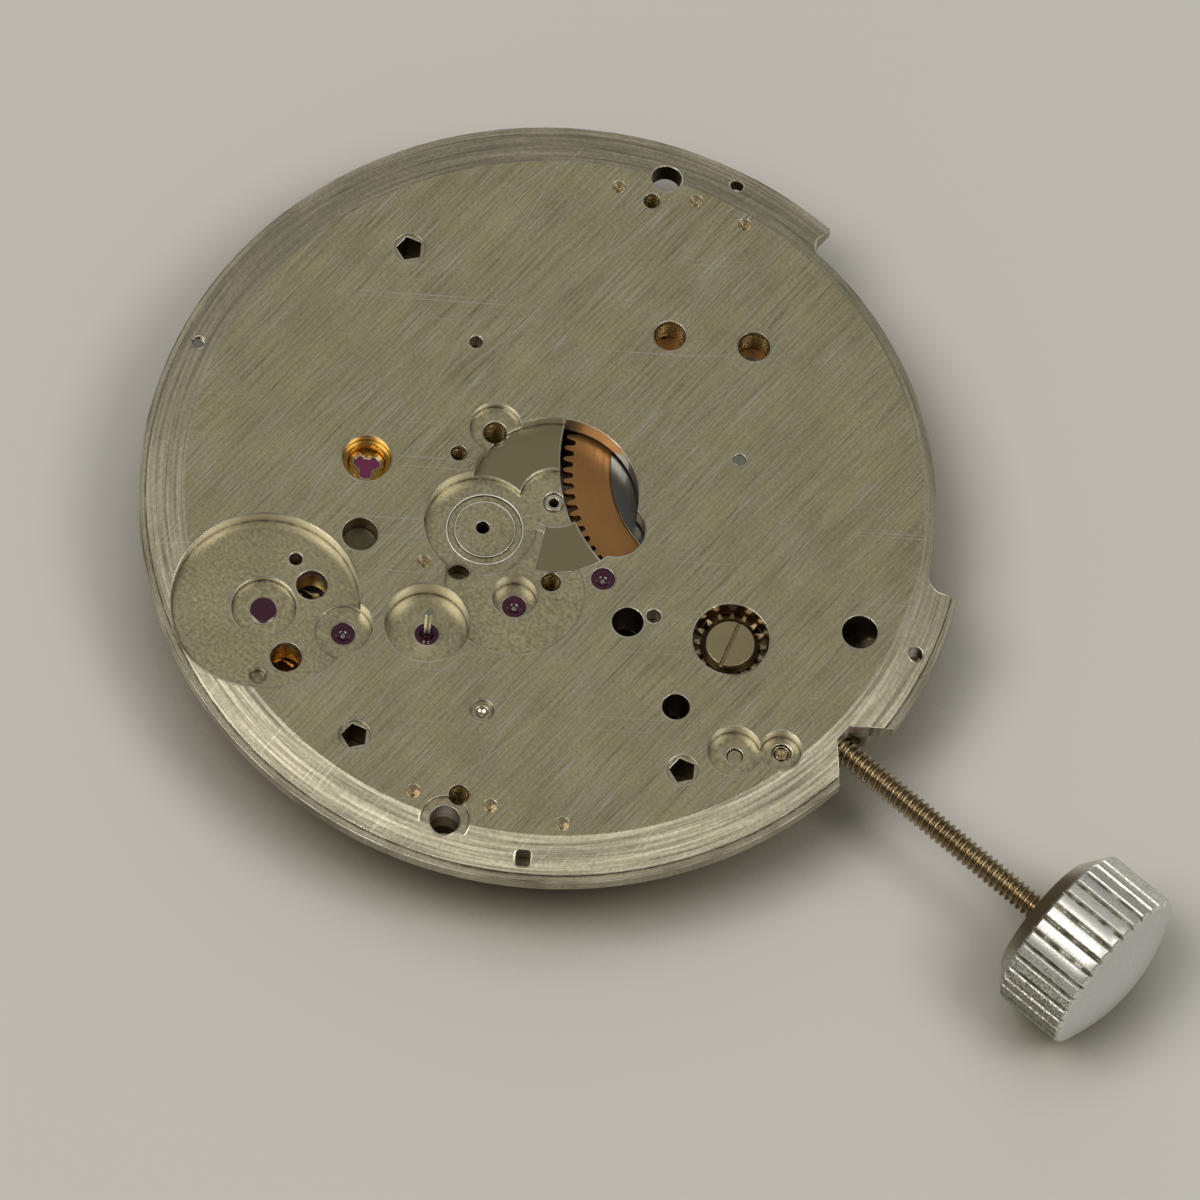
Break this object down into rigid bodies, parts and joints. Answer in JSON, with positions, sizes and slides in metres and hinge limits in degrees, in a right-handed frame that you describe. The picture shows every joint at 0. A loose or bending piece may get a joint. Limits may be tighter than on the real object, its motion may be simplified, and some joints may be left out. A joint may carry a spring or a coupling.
{
  "type": "mechanical watch movement",
  "caption": "Round hand-wound watch movement with small seconds, dial side bare, with its barrel, train, escapement, balance, winding work, long stem and fluted crown.",
  "frame": {"origin": "plate centre on the dial face", "axes": "+Z out of the dial face, +X along the winding stem towards the crown, +Y towards 12 o'clock"},
  "size_m": [0.0382, 0.027, 0.0059],
  "materials": {
    "nickel_plate": "nickel plated, straight brushed",
    "ruby": "polished",
    "gilt": "gilt",
    "copper_gilt": "fine brushed",
    "chrome": "polished",
    "stem_steel": "oiled",
    "polished_steel": "polished"
  },
  "bodies": {
    "movement": {"main_plate": "nickel_plate", "plate_jewels": "ruby", "cap_jewel": "ruby", "plate_pin": "polished_steel", "lower_shock_block": "gilt", "lower_shock_jewels": "ruby", "lower_shock_spring": "gilt", "upper_shock_block": "gilt", "upper_shock_jewels": "ruby", "upper_shock_spring": "gilt", "barrel_bridge": "nickel_plate", "train_bridge": "nickel_plate", "bridge_jewels": "ruby", "pallet_cock": "nickel_plate", "pallet_cock_screw": "polished_steel", "balance_cock": "nickel_plate", "bridge_screws": "polished_steel", "cock_screw": "polished_steel", "crown_wheel_core": "polished_steel", "click_screw": "polished_steel", "click_spring": "polished_steel", "hairspring_stud": "polished_steel", "setting_wheel_screw": "polished_steel", "setting_lever_screw": "polished_steel", "yoke_pin": "polished_steel"},
    "barrel": {"barrel_drum": "copper_gilt", "barrel_cover": "polished_steel", "mainspring": "polished_steel"},
    "ratchet": {"barrel_arbor": "polished_steel", "ratchet_wheel": "polished_steel"},
    "crown_wheel": {"crown_wheel": "polished_steel"},
    "click": {"click": "polished_steel"},
    "second": {"second_pinion": "polished_steel", "second_wheel": "copper_gilt"},
    "third": {"third_pinion": "polished_steel", "third_wheel": "copper_gilt"},
    "fourth": {"fourth_pinion": "polished_steel", "fourth_wheel": "copper_gilt"},
    "fifth": {"fifth_pinion": "polished_steel", "fifth_wheel": "copper_gilt"},
    "escape": {"escape_pinion": "polished_steel", "escape_wheel": "gilt"},
    "pallets": {"pallet_fork": "polished_steel", "pallet_stones": "ruby", "pallet_arbor": "polished_steel"},
    "balance": {"balance_wheel": "copper_gilt", "balance_staff": "polished_steel", "roller": "polished_steel", "impulse_jewel": "ruby", "hairspring": "polished_steel", "hairspring_collet": "polished_steel"},
    "winding_pinion": {"winding_pinion": "polished_steel"},
    "winding_stem": {"stem": "stem_steel", "crown": "chrome"},
    "clutch": {"sliding_clutch": "polished_steel"},
    "setting_wheel": {"setting_wheel": "polished_steel"},
    "setting_lever": {"setting_lever": "polished_steel"},
    "yoke": {"yoke": "polished_steel"}
  },
  "joints": [
    {"name": "fourth_turn", "type": "hinge", "parent": "movement", "child": "fourth", "pos_m": [0, -0.00624, -0.002], "axis": [0, 0, 1], "continuous": true},
    {"name": "barrel_turn", "type": "hinge", "parent": "movement", "child": "barrel", "pos_m": [0.00362, 0.00501, -0.002], "axis": [0, 0, 1], "continuous": true},
    {"name": "second_turn", "type": "hinge", "parent": "movement", "child": "second", "pos_m": [0.00313, -0.0012, -0.002], "axis": [0, 0, 1], "continuous": true},
    {"name": "third_turn", "type": "hinge", "parent": "movement", "child": "third", "pos_m": [0.00148, -0.00364, -0.002], "axis": [0, 0, 1], "continuous": true},
    {"name": "fifth_turn", "type": "hinge", "parent": "movement", "child": "fifth", "pos_m": [-0.00194, -0.00814, -0.002], "axis": [0, 0, 1], "continuous": true},
    {"name": "escape_turn", "type": "hinge", "parent": "movement", "child": "escape", "pos_m": [-0.00445, -0.00919, -0.002], "axis": [0, 0, 1], "continuous": true},
    {"name": "pallet_swing", "type": "hinge", "parent": "movement", "child": "pallets", "pos_m": [-0.00482, -0.00721, -0.002], "axis": [0, 0, 1], "range_deg": [-5, 5]},
    {"name": "balance_swing", "type": "hinge", "parent": "movement", "child": "balance", "pos_m": [-0.00536, -0.00316, -0.002], "axis": [0, 0, 1], "range_deg": [-270, 270]},
    {"name": "winding_turn", "type": "hinge", "parent": "movement", "child": "winding_pinion", "pos_m": [0.0107, 0, -0.00135], "axis": [1, 0, 0], "continuous": true},
    {"name": "crown_wheel_turn", "type": "hinge", "parent": "movement", "child": "crown_wheel", "pos_m": [0.0084, 0, -0.002], "axis": [0, 0, 1], "continuous": true},
    {"name": "ratchet_turn", "type": "hinge", "parent": "movement", "child": "ratchet", "pos_m": [0.00362, 0.00501, -0.002], "axis": [0, 0, 1], "continuous": true},
    {"name": "click_swing", "type": "hinge", "parent": "movement", "child": "click", "pos_m": [-0.0011, 0.00773, -0.00275], "axis": [0, 0, 1], "range_deg": [-4, 12]},
    {"name": "stem_pull", "type": "slide", "parent": "winding_pinion", "child": "winding_stem", "axis": [1, 0, 0], "range_m": [0, 0.00045]},
    {"name": "clutch_slide", "type": "slide", "parent": "winding_pinion", "child": "clutch", "axis": [1, 0, 0], "range_m": [-0.000351, 0]},
    {"name": "setting_wheel_turn", "type": "hinge", "parent": "movement", "child": "setting_wheel", "pos_m": [0.00759, 0, -0.0007], "axis": [0, 0, 1], "continuous": true},
    {"name": "setting_lever_swing", "type": "hinge", "parent": "movement", "child": "setting_lever", "pos_m": [0.01131, -0.00177, -0.0019], "axis": [0, 0, 1], "range_deg": [-21, 0]},
    {"name": "yoke_swing", "type": "hinge", "parent": "movement", "child": "yoke", "pos_m": [0.01026, -0.00285, -0.0021], "axis": [0, 0, 1], "range_deg": [0, 10]}
  ],
  "couplings": [
    {"joint": "third_turn", "follows": "fourth_turn", "ratio": -0.125},
    {"joint": "second_turn", "follows": "fourth_turn", "ratio": 0.016667},
    {"joint": "barrel_turn", "follows": "fourth_turn", "ratio": -0.0018939},
    {"joint": "fifth_turn", "follows": "fourth_turn", "ratio": -2.5},
    {"joint": "escape_turn", "follows": "fourth_turn", "ratio": 10},
    {"joint": "crown_wheel_turn", "follows": "winding_turn", "ratio": 0.45833},
    {"joint": "ratchet_turn", "follows": "winding_turn", "ratio": -0.22917},
    {"joint": "clutch_slide", "follows": "stem_pull", "ratio": -0.77778},
    {"joint": "setting_lever_swing", "follows": "stem_pull", "rad_per_m": -800},
    {"joint": "yoke_swing", "follows": "stem_pull", "rad_per_m": 375}
  ]
}
